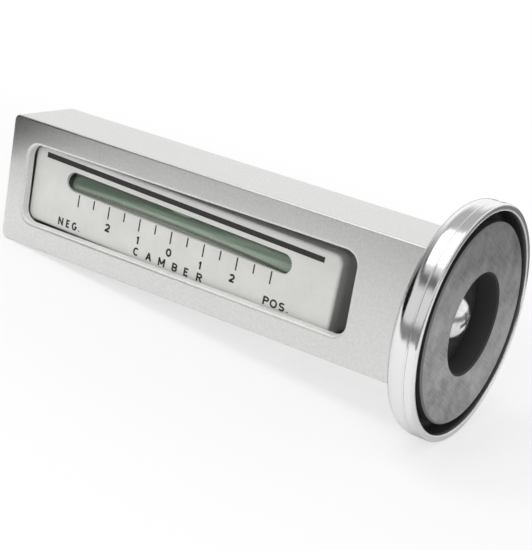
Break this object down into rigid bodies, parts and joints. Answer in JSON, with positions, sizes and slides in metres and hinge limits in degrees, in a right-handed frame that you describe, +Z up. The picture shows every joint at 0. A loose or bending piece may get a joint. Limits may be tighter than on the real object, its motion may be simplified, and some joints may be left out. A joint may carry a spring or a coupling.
{
  "type": "magnetic camber gauge",
  "caption": "Wheel alignment gauge: a hollow bar with a round pot magnet on one end and an arched spirit vial in a rocking dial block behind a window, set to zero by a screw.",
  "frame": {"origin": "centre of the magnet's contact face", "axes": "+X out of the magnet, along the bar's long axis away from it; the dial faces -Y; +Z up"},
  "size_m": [0.1563, 0.0668, 0.0668],
  "materials": {
    "bar_metal": "satin",
    "cover_metal": "satin",
    "screw_steel": "zinc plated",
    "stud_steel": "turned",
    "washer_plastic": "matte",
    "dial_plastic": "satin moulded",
    "vial_glass": "clear",
    "vial_fluid": "clear tinted",
    "bubble_air": "clear",
    "plug_rubber": "matte",
    "pad_rubber": "matte",
    "nut_brass": "turned",
    "spring_steel": "drawn wire",
    "cup_chrome": "polished",
    "ferrite": "sintered, matte",
    "head_steel": "bright plated"
  },
  "bodies": {
    "housing": {"housing": "bar_metal", "back_cover": "cover_metal", "cover_screws": "screw_steel", "pivot_stud": "stud_steel", "pivot_washer": "washer_plastic", "carrier_spring": "spring_steel", "magnet_cup": "cup_chrome", "ferrite_ring": "ferrite", "magnet_screw": "head_steel", "screw_lock_washer": "stud_steel"},
    "carrier": {"dial_carrier": "dial_plastic", "glass_vial": "vial_glass", "vial_liquid": "vial_fluid", "vial_plug_left": "plug_rubber", "vial_plug_right": "plug_rubber", "vial_pads": "pad_rubber", "vial_retainer": "cover_metal", "retainer_screws": "screw_steel"},
    "adjuster": {"zero_screw": "screw_steel"},
    "cross_nut": {"trunnion_nut": "nut_brass"},
    "bubble": {"air_bubble": "bubble_air"}
  },
  "joints": [
    {"name": "zero_screw_turn", "type": "hinge", "parent": "housing", "child": "adjuster", "pos_m": [-0.04473, 0, -0.0199], "axis": [0, 0, 1], "range_deg": [-2980, 310]},
    {"name": "carrier_tilt", "type": "hinge", "parent": "housing", "child": "carrier", "pos_m": [-0.1442, 0, -0.0004], "axis": [0, 1, 0], "range_deg": [-3.8, 0.4], "deforming": ["carrier_spring"]},
    {"name": "nut_swivel", "type": "hinge", "parent": "carrier", "child": "cross_nut", "pos_m": [-0.04475, 0, -0.00352], "axis": [0, 1, 0], "range_deg": [-0.4, 3.8]},
    {"name": "bubble_travel", "type": "hinge", "parent": "carrier", "child": "bubble", "pos_m": [-0.11606, -0.0027, -0.67934], "axis": [0, 1, 0], "range_deg": [-2.9, 2.9], "stiffness_Nm_per_rad": 0.02}
  ],
  "couplings": [
    {"joint": "carrier_tilt", "follows": "zero_screw_turn", "ratio": 0.00127},
    {"joint": "nut_swivel", "follows": "zero_screw_turn", "ratio": -0.00127}
  ]
}
